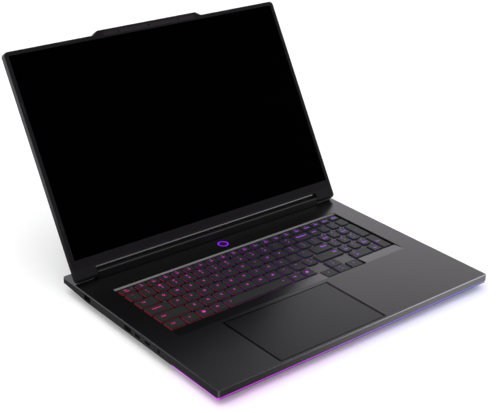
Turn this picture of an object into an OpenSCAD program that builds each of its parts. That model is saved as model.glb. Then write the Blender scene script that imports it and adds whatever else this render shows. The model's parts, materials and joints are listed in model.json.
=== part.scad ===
// Large clamshell laptop computer: open lid on two barrel hinges, sunken full-size
// keyboard with a number pad, wide touchpad, raised hinge bar and a front light bar.
// Millimetres, +Z up, +Y to the rear; X = 0 is the centre plane, Z = 0 the table.

/* [Base] */
// Deck beside the key tray, at the left and right
side_deck = 29.6; // [24:0.1:40]
// Clear height inside, from the bottom cover to the keyboard
bay_h = 10.65; // [10:0.05:14]
// Thickness of the deck plate
deck_t = 1.4; // [1.2:0.1:1.6]
// Thickness of the side walls
wall_t = 1.5; // [1.2:0.1:1.8]
// Chamfer along the deck's outer edges
edge_chamfer = 0.8; // [0.4:0.1:1]
// Upright facet on the front corners
corner_cut = 1.4; // [0.8:0.1:2]
// Height of the front wall
front_wall_h = 8.4; // [8:0.1:8.8]
// Height of the side walls
side_wall_h = 9.4; // [9:0.1:9.6]
// Height of the bottom cover's rim below the side walls
rim_h = 0.8; // [0.5:0.1:1.2]
// How far the underside slopes in at the left and right
side_slope = 17; // [12:1:18]
// How far the underside slopes in at the front
front_slope = 13; // [10:1:15]
// Length of the rising underside at the rear
rear_slope = 27; // [22:1:30]
// Height of the vertical rear wall
rear_wall_h = 11.4; // [11:0.1:12]
// Thickness of the bottom cover
floor_t = 1.6; // [1.4:0.1:1.8]
// Height of the rubber feet
foot_h = 2; // [1.5:0.1:2.5]

/* [Light bar] */
// Length of the light bar along each side
light_side = 78; // [40:1:90]
// Height of the light bar
light_h = 1.3; // [1:0.1:1.4]
// Depth of the light bar
light_d = 1.5; // [1:0.1:1.5]

/* [Lid and hinge] */
// Opening angle of the lid
open_angle = 121.2; // [95:0.1:130]
// Hinge axis ahead of the rear wall
hinge_back = 23.9; // [23:0.1:26]
// Hinge axis above the deck
hinge_up = 6.4; // [6:0.1:7]
// How far the lid's sides stand back from the base's
lid_inset = 1.2; // [0.5:0.1:2]
// How far the closed lid reaches past the front wall
lid_overhang = 1.3; // [0:0.1:2]
// Thickness of the lid
lid_t = 8; // [7.6:0.1:8.6]
// Thickness of the lid's back plate and rim
lid_skin = 1.2; // [1:0.1:1.3]
// Gap between the bezel and the deck when the lid is closed
closed_gap = 0.7; // [0.6:0.1:0.9]
// Width of each lid ear beside the hinge bar
ear_w = 28.6; // [24:0.1:30]
// Clearance between the ears and the deck
ear_gap = 0.3; // [0.2:0.1:0.8]
// Lower edge of the chin above the hinge axis
chin_reach = 6.7; // [6.6:0.1:7]
// Corner radius of the lid
lid_corner = 5; // [3:0.5:5.5]
// Width of the camera bump at its foot
bump_w = 161; // [140:1:180]
// Height of the camera bump above the top edge
bump_h = 4.8; // [3:0.1:6]
// Length of each slanted end of the bump
bump_slant = 7.8; // [4:0.1:12]
// Radius of the hinge pins
pin_r = 1.7; // [1.4:0.1:1.8]
// Running clearance of the pins in their barrels
pin_fit = 0.05; // [0.03:0.01:0.08]

/* [Display] */
// Bezel beside the display
side_bezel = 4.85; // [3:0.05:8]
// Bezel above the display
top_bezel = 4.8; // [3:0.1:8]
// Chin between the lid's lower edge and the display
chin_h = 12.5; // [12:0.1:13]
// Height of the hinge trim strip in the chin
trim_h = 2.9; // [2.4:0.1:3.4]
// Thickness of the bezel
bezel_t = 0.8; // [0.7:0.1:0.9]
// Thickness of the display panel
panel_t = 2.8; // [2.4:0.1:2.8]

/* [Keyboard] */
// Pitch of the letter keys
unit = 19.05; // [18.8:0.01:19.05]
// Pitch of the key rows
row_pitch = 18.4; // [18:0.1:18.5]
// Depth of the top row's cells
top_row_d = 12.5; // [11.5:0.1:12.6]
// Width of the backspace key's cell
backspace_w = 26.7; // [24:0.1:34]
// Pitch of the number pad's columns
pad_unit = 15.8; // [15.6:0.01:15.8]
// Gap between neighbouring keys
key_gap = 3.6; // [3.2:0.1:4]
// Length of the ramp from the palm rest down to the bottom row's cells
ramp_len = 16.1; // [16:0.1:20]
// How far the arrow row drops ahead of the bottom row
arrow_drop = 15.2; // [15:0.1:15.4]
// Width of an arrow key's cell
arrow_unit = 20.3; // [19:0.1:20.4]
// Height of a keycap
key_h = 2.1; // [1.9:0.1:2.2]
// Key travel
key_travel = 1.5; // [1.2:0.1:1.6]
// Key tops below the deck
key_drop = 0.8; // [0.6:0.1:1]
// Bulge of the letter keys' curved front edge
key_smile = 1.3; // [0.8:0.1:1.6]
// Clearance between a key and its opening
key_slot = 0.6; // [0.4:0.1:0.8]
// Depth of the key tray below the deck
tray_depth = 2.2; // [2:0.1:2.4]
// Tray floor beside the outermost keys' cells
tray_side = 1.9; // [1.6:0.1:4]
// Depth of the slanted trim bar behind the keys
trim_bar_d = 2.7; // [2:0.1:4]

/* [Touchpad and power button] */
// Width of the touchpad
pad_w = 150; // [130:1:150]
// Depth of the touchpad
pad_d = 92.8; // [80:0.1:94]
// Centre of the touchpad, left of the space bar's
pad_offset = 2.2; // [-5:0.1:5]
// Deck ahead of the touchpad
pad_y = 4.7; // [4.5:0.1:8]
// Deck between the touchpad and the key tray
pad_back = 6.9; // [6.5:0.1:10]
// Radius of the power button's light ring
ring_r = 6.6; // [6:0.1:8]
// Width of the light ring
ring_w = 1.3; // [1:0.1:2.2]
// Deck between the key tray and the hinge bar, where the power button is
power_strip = 29.7; // [22:0.1:36]
// Travel of the power button
power_travel = 0.8; // [0.5:0.1:1]

/* [Hinge bar] */
// Height of the hinge bar above the hinge axis
bar_over = 3.4; // [3.4:0.1:3.8]
// Clearance between the hinge bar and the lid's chin
chin_gap = 0.5; // [0.4:0.1:0.8]
// Foot of the hinge bar behind the hinge axis
bar_rear = 5.4; // [5:0.1:5.8]
// Gap between the hinge bar's ends and the lid ears
bar_gap = 0.7; // [0.5:0.1:1]

/* [Hidden] */
$fn = 48;
eps = 0.01;      // overshoot of a cut
seat = 0.1;      // gap between a piece and its seat
big = 500;       // longer than the whole part

// Key layout along the rows
esc_w = 21.7;
grave_w = 18.5;
tab_w = 27.6;
caps_w = 33.3;
left_shift_w = 42.7;
ctrl_w = 23.2;
fn_w = 19.7;
alt_right_w = 19.2;
space_w = 5 * unit;
main_w = grave_w + 12 * unit + backspace_w;
field_w = main_w + 4 * pad_unit;
field_x = -field_w / 2;
main_right = field_x + main_w;
arrow_x = main_right - 3 * arrow_unit;
space_x = field_x + ctrl_w + fn_w + 2 * unit;
logo_right_w = arrow_x - space_x - space_w - alt_right_w;
arrow_split = 1.3;        // gap between the up and down arrow keys

// Base seen from above: each strip follows the one ahead of it
tray_w = field_w + 2 * tray_side;
body_w = tray_w + 2 * side_deck;
tray_y = pad_y + pad_d + pad_back;
row0_y = tray_y + ramp_len;
tray_rear = row0_y + 5 * row_pitch + top_row_d - key_gap / 2 + key_slot + 2.7;
pad_x = space_x + space_w / 2 - pad_offset;
pad_low = [pad_x - pad_w / 2, pad_y];
pad_high = [pad_x + pad_w / 2, pad_y + pad_d];
bar_foot_y = tray_rear + trim_bar_d + power_strip;
power_y = bar_foot_y - power_strip / 2 + 0.5;
bar_front = chin_reach - chin_gap;
hinge_y = bar_foot_y + bar_front;
body_d = hinge_y + hinge_back;

// Heights of the base: feet, bottom cover, inside, then the keyboard's layers
floor_z = foot_h + floor_t;
light_sheet_z = floor_z + bay_h;
light_sheet_t = 0.4;
plate_z = light_sheet_z + light_sheet_t;
plate_t = 0.6;
dome_sheet_z = plate_z + plate_t;
dome_sheet_t = 0.2;
key_bottom = dome_sheet_z + dome_sheet_t + 0.15 + key_travel;
key_top = key_bottom + key_h;
deck_z = key_top + key_drop;
deck_under = deck_z - deck_t;
front_skirt_z = deck_z - front_wall_h;
side_skirt_z = deck_z - side_wall_h;
rim_z = side_skirt_z - rim_h;
rear_z = deck_z - rear_wall_h;
floor_x = body_w / 2 - side_slope;
floor_rear = body_d - rear_slope;
corner_rise = 3.8;        // rise of the side rim towards the rear corners
corner_rise_len = 52;
corner_rise_w = 14;

// Hinge and lid
hinge_z = deck_z + hinge_up;
ear_r = hinge_up - ear_gap;
bar_h = hinge_up + bar_over;
lid_w = body_w - 2 * lid_inset;
lid_h = hinge_y + lid_overhang;
view_w = lid_w - 2 * side_bezel;
view_h = lid_h - chin_reach - chin_h - top_bezel;
face_z = hinge_up - closed_gap;        // bezel's face in front of the axis
back_z = face_z - lid_t;
bezel_z = face_z - bezel_t;
notch_x = lid_w / 2 - ear_w;
view_y = chin_reach + chin_h;
trim_top = chin_reach + trim_h;
panel_top = bezel_z - seat;
lid_reach_y = hinge_y + (lid_h + bump_h) * cos(180 - open_angle) - back_z * sin(180 - open_angle);
center_y = lid_reach_y / 2;            // middle of the part's whole depth, front wall at 0

// Keycaps and their tray
key_skin = 0.9;
key_wall = 1;
tray_z = deck_z - tray_depth;
tray_t = 1;
dome_top = key_top - key_skin - key_travel - 0.3;

// Sockets along the left wall, as distances behind the front wall, and their height
ethernet_y = 236;
usb_a_left_y = 156;
usb_c_y = [138, 120];
audio_y = 99.6;
usb_a_right_y = [152, 126];
switch_y = 78;
socket_z = front_skirt_z + 3;
rear_socket_z = (rear_z + floor_t + deck_under) / 2;
video_x = -22;
power_x = 42;
usb_a_rear_x = -62;
ethernet_size = [12, 6];      // mouth width and height
usb_a_size = [13, 5.2];
usb_c_size = [9, 3.2];
video_size = [14.6, 5];
power_size = [11.6, 5.2];
audio_r = 1.8;
audio_len = 12;

// Inside
post_r = 2.6;
post_bore = 0.9;
screw_r = 0.8;
head_r = 2.2;
fan_size = 78;
fan_r = fan_size / 2 - 9;
fan_x = floor_x - 26 - fan_size / 2;
fan_y = body_d - 42 - fan_size / 2;
speaker_x = 8.7 - pad_low[0];      // inner side of each speaker, beside the touchpad
speaker_w = floor_x - 3 - speaker_x;
battery_x = speaker_x - 18;
post_x = speaker_x - 4.5;
post_side_x = floor_x - 7;
posts = [for (side = [-1, 1], p = [
  [post_x, front_slope + 17], [post_x, tray_y - 18.4], [post_side_x, tray_y + 27.6],
  [post_side_x, fan_y - 2], [fan_x - fan_size / 2 - 7, floor_rear - 2.8]
]) [side * p[0], p[1]]];
board_z = floor_z + 4.4;
board_t = 1.4;
fan_top = light_sheet_z - 0.2;
fan_z = floor_z + 0.3;
bracket_w = 18;
barrel_r = 2.5;

// ---------- shapes ----------

// Box between two corners
module span(low, high) {
  translate(low) cube(high - low);
}

// Outline in the Y-Z plane drawn out along X from x0 to x1
module along_x(x0, x1) {
  translate([x0, 0, 0]) rotate([90, 0, 90]) linear_extrude(x1 - x0) children();
}

// Outline in the X-Z plane drawn out along Y from y0 to y1
module along_y(y0, y1) {
  translate([0, y1, 0]) rotate([90, 0, 0]) linear_extrude(y1 - y0) children();
}

// Children and their mirror image about the centre plane
module both_sides() {
  children();
  mirror([1, 0, 0]) children();
}

// Rectangle with round corners, between two corners
module round_rect(low, high, r) {
  translate([low[0] + r, low[1]]) square([high[0] - low[0] - 2 * r, high[1] - low[1]]);
  translate([low[0], low[1] + r]) square([high[0] - low[0], high[1] - low[1] - 2 * r]);
  for (x = [low[0] + r, high[0] - r], y = [low[1] + r, high[1] - r]) translate([x, y]) circle(r);
}

// From the front wall's frame to the part's own, whose origin is under the middle of the whole
module placed() {
  translate([0, -center_y, 0]) children();
}

// From the lid's frame, hinge axis at its origin and +Z out of the screen, to the front wall's
module lid_placed() {
  placed() translate([0, hinge_y, hinge_z]) rotate([180 - open_angle, 0, 0]) children();
}

// ---------- keys ----------

// Cells laid side by side from x0: each is [left edge, width]
function cells(x0, widths) =
  [for (i = 0, x = x0; i < len(widths); x = x + widths[i], i = i + 1) [x, widths[i]]];
function same(count, width) = [for (i = [1 : count]) width];
function row_y(row) = row0_y + row * row_pitch;
function last_w(used) = main_w - used;

top_cells = cells(field_x, concat([esc_w], same(15, (main_w - esc_w) / 15), same(4, pad_unit)));
number_cells = cells(field_x, concat([grave_w], same(12, unit)));
backspace_cells = cells(field_x + grave_w + 12 * unit, [last_w(grave_w + 12 * unit)]);
tab_cells = cells(field_x, [tab_w]);
q_cells = cells(field_x + tab_w, same(12, unit));
slash_cells = cells(field_x + tab_w + 12 * unit, [last_w(tab_w + 12 * unit)]);
caps_cells = cells(field_x, [caps_w]);
home_cells = cells(field_x + caps_w, same(11, unit));
enter_cells = cells(field_x + caps_w + 11 * unit, [last_w(caps_w + 11 * unit)]);
left_shift_cells = cells(field_x, [left_shift_w]);
lower_cells = cells(field_x + left_shift_w, same(10, unit));
right_shift_cells = cells(field_x + left_shift_w + 10 * unit, [last_w(left_shift_w + 10 * unit)]);
left_modifier_cells = cells(field_x, [ctrl_w, fn_w, unit, unit]);
space_cells = cells(space_x, [space_w]);
right_modifier_cells = cells(space_x + space_w, [alt_right_w, logo_right_w]);
up_cells = [[arrow_x + arrow_unit, arrow_unit]];
digit_cells = cells(main_right, same(3, pad_unit));
last_column = [[main_right + 3 * pad_unit, pad_unit]];
zero_cells = [[main_right, 2 * pad_unit]];
dot_cells = [[main_right + 2 * pad_unit, pad_unit]];
arrow_y = row0_y - arrow_drop;
arrow_d = arrow_drop + key_gap - arrow_split;

// Outline of one key, grown by a clearance; a curved front is an arc of the given bulge
module key_outline(cell, y0, depth, curved, grow) {
  w = cell[1] - key_gap + 2 * grow;
  d = depth - key_gap + 2 * grow;
  arc_r = (w * w / 4 + key_smile * key_smile) / (2 * key_smile);
  translate([cell[0] + key_gap / 2 - grow, y0 + key_gap / 2 - grow]) intersection() {
    square([w, d]);
    if (curved) translate([w / 2, arc_r]) circle(arc_r, $fn = 180);
  }
}

// Keycaps over a row of cells: a thin top with a hollow below it
module keycaps(row, y0, depth = row_pitch, curved = false) {
  for (cell = row) translate([0, 0, key_bottom]) difference() {
    linear_extrude(key_h) key_outline(cell, y0, depth, curved, 0);
    translate([0, 0, -eps]) linear_extrude(key_h - key_skin + eps)
      key_outline(cell, y0, depth, curved, -key_wall);
  }
}

// Every row of cells with its place: cells, front, depth, curved front
key_rows = [
  [top_cells, row_y(5), top_row_d, false], [number_cells, row_y(4), row_pitch, true],
  [backspace_cells, row_y(4), row_pitch, false], [tab_cells, row_y(3), row_pitch, false],
  [q_cells, row_y(3), row_pitch, true], [slash_cells, row_y(3), row_pitch, false],
  [caps_cells, row_y(2), row_pitch, false], [home_cells, row_y(2), row_pitch, true],
  [enter_cells, row_y(2), row_pitch, false], [left_shift_cells, row_y(1), row_pitch, false],
  [lower_cells, row_y(1), row_pitch, true], [right_shift_cells, row_y(1), row_pitch, false],
  [left_modifier_cells, row_y(0), row_pitch, false], [space_cells, row_y(0), row_pitch, false],
  [right_modifier_cells, row_y(0), row_pitch, false], [up_cells, row_y(0), row_pitch, false],
  [cells(arrow_x, same(3, arrow_unit)), arrow_y, arrow_d, false],
  [concat(digit_cells, last_column), row_y(4), row_pitch, true],
  [digit_cells, row_y(3), row_pitch, true], [digit_cells, row_y(2), row_pitch, true],
  [digit_cells, row_y(1), row_pitch, true], [last_column, row_y(2), 2 * row_pitch, false],
  [last_column, row_y(0), 2 * row_pitch, false], [zero_cells, row_y(0), row_pitch, false],
  [dot_cells, row_y(0), row_pitch, false]
];

module key_node(row, y0, depth = row_pitch, curved = false) {
  color("#2b2b2d") placed() keycaps(row, y0, depth, curved);
}

module top_row_keys() { key_node(top_cells, row_y(5), top_row_d); }
module number_row_keys() { key_node(number_cells, row_y(4), curved = true); }
module backspace_key() { key_node(backspace_cells, row_y(4)); }
module enter_key() { key_node(enter_cells, row_y(2)); }
module left_shift_key() { key_node(left_shift_cells, row_y(1)); }
module lower_row_keys() { key_node(lower_cells, row_y(1), curved = true); }
module right_shift_key() { key_node(right_shift_cells, row_y(1)); }
module space_bar() { key_node(space_cells, row_y(0)); }
module up_arrow_key() { key_node(up_cells, row_y(0)); }
module left_arrow_key() { key_node([[arrow_x, arrow_unit]], arrow_y, arrow_d); }
module down_arrow_key() { key_node([[arrow_x + arrow_unit, arrow_unit]], arrow_y, arrow_d); }
module right_arrow_key() { key_node([[arrow_x + 2 * arrow_unit, arrow_unit]], arrow_y, arrow_d); }
module numpad_plus_key() { key_node(last_column, row_y(2), 2 * row_pitch); }
module numpad_enter_key() { key_node(last_column, row_y(0), 2 * row_pitch); }
module numpad_zero_key() { key_node(zero_cells, row_y(0)); }

module q_row_keys() {
  key_node(concat(tab_cells, slash_cells), row_y(3));
  key_node(q_cells, row_y(3), curved = true);
}

module home_row_keys() {
  key_node(caps_cells, row_y(2));
  key_node(home_cells, row_y(2), curved = true);
}

module modifier_keys() {
  key_node(concat(left_modifier_cells, right_modifier_cells), row_y(0));
}

module numpad_digit_keys() {
  key_node(concat(digit_cells, last_column), row_y(4), curved = true);
  for (row = [1 : 3]) key_node(digit_cells, row_y(row), curved = true);
  key_node(dot_cells, row_y(0));
}

// ---------- sockets ----------

// Mouth cut through a wall: centred on the origin, running along Y
module mouth(size, depth) {
  translate([-size[0] / 2, -depth / 2, -size[1] / 2]) cube([size[0], depth, size[1]]);
}

// Socket shell with a contact tongue; its mouth is at y = 0 and it runs towards +Y
module socket(size, depth, shell, tongue) {
  difference() {
    translate([-size[0] / 2 - shell, 0, -size[1] / 2 - shell])
      cube([size[0] + 2 * shell, depth, size[1] + 2 * shell]);
    translate([-size[0] / 2, -eps, -size[1] / 2]) cube([size[0], depth - shell, size[1]]);
  }
  translate([-tongue[0] / 2, 2, tongue[2]]) cube([tongue[0], depth - 2 - shell / 2, tongue[1]]);
}

// Children with their mouth in the left wall, the right wall or the rear wall
module on_left(y, z) { translate([-body_w / 2, y, z]) rotate([0, 0, -90]) children(); }
module on_right(y, z) { translate([body_w / 2, y, z]) rotate([0, 0, 90]) children(); }
module on_rear(x, z) { translate([x, body_d, z]) rotate([0, 0, 180]) children(); }

socket_in = wall_t + seat;
socket_depth = 13;
ethernet_z = deck_under - seat - ethernet_size[1] / 2 - 0.6;

module wall_mouths() {
  cut = 2 * wall_t + 1;
  on_left(ethernet_y, ethernet_z) mouth(ethernet_size, cut);
  on_left(usb_a_left_y, socket_z) mouth(usb_a_size, cut);
  for (y = usb_c_y) on_left(y, socket_z) mouth(usb_c_size, cut);
  for (y = usb_a_right_y) on_right(y, socket_z) mouth(usb_a_size, cut);
  on_right(switch_y, socket_z) mouth(switch_slot, cut);
  translate([-body_w / 2, audio_y, socket_z]) rotate([0, 90, 0])
    cylinder(h = cut, r = audio_r + nose_t + 0.1, center = true);
}

module ethernet_jack() {
  color("#101012") placed() on_left(ethernet_y, ethernet_z) translate([0, socket_in, 0])
    socket(ethernet_size, socket_depth + 2, 0.6, [8, 0.8, ethernet_size[1] / 2 - 1.2]);
}

module usb_a_sockets() {
  tongue = [11.2, 1.8, 0.2];
  color("#9a9a9c") placed() {
    on_left(usb_a_left_y, socket_z) translate([0, socket_in, 0])
      socket(usb_a_size, socket_depth, 0.35, tongue);
    for (y = usb_a_right_y) on_right(y, socket_z) translate([0, socket_in, 0])
      socket(usb_a_size, socket_depth, 0.35, tongue);
    on_rear(usb_a_rear_x, rear_socket_z) translate([0, vent_in, 0])
      socket(usb_a_size, socket_depth, 0.35, tongue);
  }
}

module usb_c_sockets() {
  color("#9a9a9c") placed() for (y = usb_c_y) on_left(y, socket_z) translate([0, socket_in, 0])
    socket(usb_c_size, 8, 0.3, [6.6, 0.7, -0.35]);
}

nose_t = 0.5;       // wall of the audio jack's nose in the side wall
nose_in = 0.2;      // nose behind the side wall's face

module audio_jack() {
  nose = socket_in - nose_in;
  color("#101012") placed() translate([-body_w / 2 + socket_in, audio_y, socket_z])
    rotate([0, 90, 0]) difference() {
      union() {
        translate([-2.6, -3, 0]) cube([5.2, 6, audio_len + 1]);
        translate([0, 0, -nose]) cylinder(h = nose + 1, r = audio_r + nose_t);
      }
      translate([0, 0, -nose - eps]) cylinder(h = nose + audio_len + eps, r = audio_r);
    }
}

module video_socket() {
  color("#9a9a9c") placed() on_rear(video_x, rear_socket_z) translate([0, vent_in, 0])
    socket(video_size, 11, 0.35, [11.6, 1, -0.1]);
}

module power_inlet() {
  color("#101012") placed() on_rear(power_x, rear_socket_z) translate([0, vent_in, 0])
    socket(power_size, 14, 0.8, [2, 2, -1]);
}

// ---------- base shells ----------

// Front, side and rear faces of the base seen from above, less a margin
module base_outline(margin) {
  x = body_w / 2 - margin;
  cut = corner_cut;
  polygon([[-x + cut, margin], [x - cut, margin], [x, margin + cut], [x, body_d - margin - 3],
    [x - 3, body_d - margin], [-x + 3, body_d - margin], [-x, body_d - margin - 3],
    [-x, margin + cut]]);
}

// Slanted cuts that take the lower rear corners up: raised and widened by these amounts
module corner_rise_cuts(raised, widened) {
  low = rim_z + raised;
  both_sides() along_x(body_w / 2 - corner_rise_w - widened, body_w / 2 + 1) polygon([
    [body_d - corner_rise_len, low], [body_d + 1, low + corner_rise],
    [body_d + 1, -1], [body_d - corner_rise_len, -1]
  ]);
}

// 45-degree chamfer cutters along the deck's four top edges
module edge_cuts() {
  c = edge_chamfer;
  side = [[body_w / 2 - c, deck_z + eps], [body_w / 2 + eps, deck_z - c], [body_w, deck_z + body_w / 2]];
  both_sides() along_y(-1, body_d + 1) polygon(side);
  along_x(-body_w, body_w) polygon([[c, deck_z + eps], [-eps, deck_z - c], [-body_w / 2, deck_z + c]]);
  along_x(-body_w, body_w) polygon([[body_d - c, deck_z + eps], [body_d + eps, deck_z - c],
    [body_d + body_w / 2, deck_z + c]]);
}

pad_gap = 0.4;
pad_t = 1.6;
pad_ledge_z = deck_z - seat - pad_t - 0.3;
bracket_x = notch_x - bar_gap - 1.5 - bracket_w;
bar_x = notch_x - bar_gap;
vent_t = 2.4;
vent_in = vent_t + 0.4;
vent_x = body_w / 2 - corner_rise_w - floor_t - seat;
switch_travel = 3.5;
switch_slot = [8.4, 2.4];

// Deck plate with every opening through it
module deck_plate() {
  difference() {
    translate([0, 0, deck_under]) linear_extrude(deck_t) difference() {
      base_outline(0);
      translate([-tray_w / 2, tray_y]) square([tray_w, tray_rear + trim_bar_d - tray_y]);
      translate(pad_low - [pad_gap, pad_gap]) square(pad_high - pad_low + 2 * [pad_gap, pad_gap]);
      translate([0, power_y]) circle(ring_r + 0.2);
      for (side = [-1, 1]) translate([side * (bracket_x + bracket_w / 2), hinge_y])
        square([bracket_w + 1, 2 * barrel_r], center = true);
    }
  }
}

// Sunken key tray: upright rim, floor with one opening per key, and the ramp to the palm rest
module key_tray() {
  rim = 1.2;
  x = tray_w / 2;
  rear = tray_rear + trim_bar_d;
  difference() {
    span([-x - rim, tray_y - rim, tray_z - tray_t], [x + rim, rear + rim, deck_z - eps]);
    span([-x, tray_y, tray_z], [x, rear, deck_z + 1]);
    translate([0, 0, tray_z - tray_t - eps]) linear_extrude(tray_t + 2 * eps)
      for (r = key_rows, cell = r[0]) key_outline(cell, r[1], r[2], r[3], key_slot);
  }
  difference() {
    along_x(-x, x) polygon([[tray_y, tray_z - eps], [tray_y, deck_z],
      [ramp_y - ramp_foot, deck_z - ramp_drop], [ramp_y, tray_z], [ramp_y, tray_z - eps]]);
    span([arrow_x, tray_y, tray_z - 1], [main_right + 1, ramp_y + 1, deck_z + 1]);
  }
}
ramp_y = row0_y + key_gap / 2 - key_slot;
ramp_drop = 0.8;    // fall of the ramp's shallow part towards the keys
ramp_foot = 2.5;    // depth of its steep part at the keys

// Side, front and rear-corner walls below the deck
module skirt() {
  difference() {
    translate([0, 0, side_skirt_z]) linear_extrude(deck_z - side_skirt_z) base_outline(0);
    translate([0, 0, side_skirt_z - 1]) linear_extrude(deck_z + 2 - side_skirt_z)
      base_outline(wall_t);
    span([-body_w, -1, 0], [body_w, corner_cut + wall_t, front_skirt_z]);
    span([-vent_x, body_d - 2 * wall_t, 0], [vent_x, body_d + 1, deck_under]);
    corner_rise_cuts(rim_h, floor_t + 2 * seat);
    wall_mouths();
  }
}

module screw_posts() {
  for (p = posts) translate([p[0], p[1], floor_z + seat]) difference() {
    cylinder(h = deck_under - floor_z, r = post_r);
    translate([0, 0, -eps]) cylinder(h = 7, r = post_bore);
  }
}

module top_case() {
  color("#3a393b") placed() difference() {
    union() {
      deck_plate();
      key_tray();
      skirt();
      screw_posts();
      span([pad_low[0] + 8, pad_high[1] - 6, pad_ledge_z - 1], [pad_high[0] - 8, tray_y - 1, pad_ledge_z]);
      span([pad_low[0] + 8, pad_high[1] + pad_gap, pad_ledge_z - 1],
        [pad_high[0] - 8, tray_y - 1, deck_under + eps]);
    }
    edge_cuts();
  }
}

// Tapered tub of the bottom cover, as seen from the front and from the side
module tub(inset, top) {
  difference() {
    tub_block(inset, top);
    corner_rise_cuts(inset, inset);
  }
}

module tub_block(inset, top) {
  intersection() {
    along_y(-1, body_d + 1) polygon([
      [-body_w / 2 + inset, top], [-body_w / 2 + inset, rim_z + inset / 3],
      [-floor_x + inset / 2, foot_h + inset], [floor_x - inset / 2, foot_h + inset],
      [body_w / 2 - inset, rim_z + inset / 3], [body_w / 2 - inset, top]
    ]);
    along_x(-body_w, body_w) polygon([
      [inset, top], [inset, rim_z + inset / 3], [front_slope + inset / 2, foot_h + inset],
      [floor_rear - inset / 4, foot_h + inset], [body_d + eps, rear_z + inset],
      [body_d + eps, top]
    ]);
    linear_extrude(deck_z) base_outline(0);
  }
}

module intake_slots() {
  pitch = 4.8;
  for (side = [-1, 1], i = [-6 : 6]) translate([side * fan_x - 24, fan_y + i * pitch - 1.1, 0])
    cube([48, 2.2, floor_z + 1]);
}

module bottom_cover() {
  light_x = body_w / 2 - light_in - light_d - seat;
  color("#1c1c1e") placed() difference() {
    tub(0, side_skirt_z + corner_rise);
    tub(floor_t, deck_z);
    along_x(-body_w, body_w) polygon([
      [-1, side_skirt_z - seat], [body_d - corner_rise_len, side_skirt_z - seat],
      [body_d + 1, side_skirt_z - seat + corner_rise], [body_d + 1, deck_z], [-1, deck_z]
    ]);
    both_sides() span([light_x, -1, 0], [body_w, light_side + seat, deck_z]);
    span([-body_w, -1, front_skirt_z - seat - light_h - seat], [body_w, light_in + light_d + seat, deck_z]);
    intake_slots();
    for (p = posts) translate([p[0], p[1], 0]) {
      cylinder(h = floor_z + 1, r = post_bore + 0.1);
      cylinder(h = foot_h + 0.8, r = head_r + 0.2);
    }
  }
}
light_in = 0.5;     // light bar behind the front and side walls

module front_light_bar() {
  x = body_w / 2 - light_in;
  top = front_skirt_z - seat;
  side_top = side_skirt_z - seat;
  color("#b03cc6") placed() intersection() {
    union() {
      span([-x, light_in, top - light_h], [x, light_in + light_d, top]);
      both_sides() span([x - light_d, light_in, side_top - light_h], [x, light_side, side_top]);
      both_sides() span([x - light_d, light_in, side_top - light_h], [x, light_in + light_d, top]);
    }
    linear_extrude(deck_z) base_outline(light_in);
  }
}

// Rear wall piece with two grilles and the rear sockets' mouths
module rear_vent_frame() {
  slot = 3;
  pitch = 4.6;
  color("#1c1c1e") placed() along_y(body_d - 0.4 - vent_t, body_d - 0.4) difference() {
    translate([-vent_x + seat, rear_z + floor_t + seat])
      square([2 * (vent_x - seat), deck_under - seat - rear_z - floor_t - seat]);
    for (side = [-1, 1], i = [-9 : 9]) translate([side * 128 + i * pitch, rear_socket_z])
      square([slot, 5.6], center = true);
    translate([video_x, rear_socket_z]) square(video_size, center = true);
    translate([power_x, rear_socket_z]) square(power_size, center = true);
    translate([usb_a_rear_x, rear_socket_z]) square(usb_a_size, center = true);
  }
}

// Hollow bar standing on the deck between the lid ears
module hinge_bar_cover() {
  skin = 0.8;
  top = deck_z + bar_h;
  slant = 0.8;
  round = 1;
  rear_rise = 0.5;      // top face's climb towards the rear
  color("#232224") placed() difference() {
    along_x(-bar_x, bar_x) polygon([
      [hinge_y - bar_front, deck_z], [hinge_y - bar_front + slant, top - round],
      [hinge_y - bar_front + slant + round, top], [hinge_y + bar_rear - slant, top + rear_rise],
      [hinge_y + bar_rear, deck_z]
    ]);
    span([-bar_x + skin, hinge_y - barrel_r - 1.4, deck_z - 1],
      [bar_x - skin, hinge_y + barrel_r + 1.2, hinge_z + barrel_r + seat]);
    translate([-body_w / 2, hinge_y, hinge_z]) rotate([0, 90, 0]) cylinder(h = body_w, r = pin_r + 0.3);
  }
}

trim_bar_rise = 1;  // trim bar's upright front face, below its slant

module keyboard_trim_bar() {
  x = tray_w / 2 - 0.3;
  color("#9a999b") placed() along_x(-x, x) polygon([
    [tray_rear, tray_z + seat], [tray_rear, tray_z + trim_bar_rise],
    [tray_rear + trim_bar_d - 0.3, deck_z - 0.2], [tray_rear + trim_bar_d - 0.2, tray_z + seat]
  ]);
}

module keyboard_plate() {
  color("#1a1a1c") placed() span([-tray_w / 2, arrow_y, plate_z], [tray_w / 2, tray_rear, plate_z + plate_t]);
}

module keyboard_backlight() {
  color("#e8e8ee") placed()
    span([-field_w / 2, arrow_y + 1, light_sheet_z], [field_w / 2, tray_rear - 1, plate_z - 0.05]);
}

// Silicone sheet with one dome under the middle of each key
module dome_sheet() {
  color("#d8d8da") placed() {
    span([-field_w / 2, arrow_y, dome_sheet_z], [field_w / 2, tray_rear - 1, dome_sheet_z + dome_sheet_t]);
    for (r = key_rows, cell = r[0])
      translate([cell[0] + cell[1] / 2, r[1] + r[2] / 2, dome_sheet_z + dome_sheet_t / 2])
        cylinder(h = dome_top - dome_sheet_z - dome_sheet_t / 2, r1 = 2.2, r2 = 1.2);
  }
}

// ---------- feet and fasteners ----------

foot_w = 8;
foot_len = 2 * (floor_x - 33);
foot_front_y = front_slope + 4;
foot_rear_y = floor_rear - 6 - foot_w;

module rubber_feet() {
  color("#111111") placed() for (y = [foot_front_y, foot_rear_y]) linear_extrude(foot_h)
    round_rect([-foot_len / 2, y], [foot_len / 2, y + foot_w], foot_w / 2 - 0.5);
}

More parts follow.
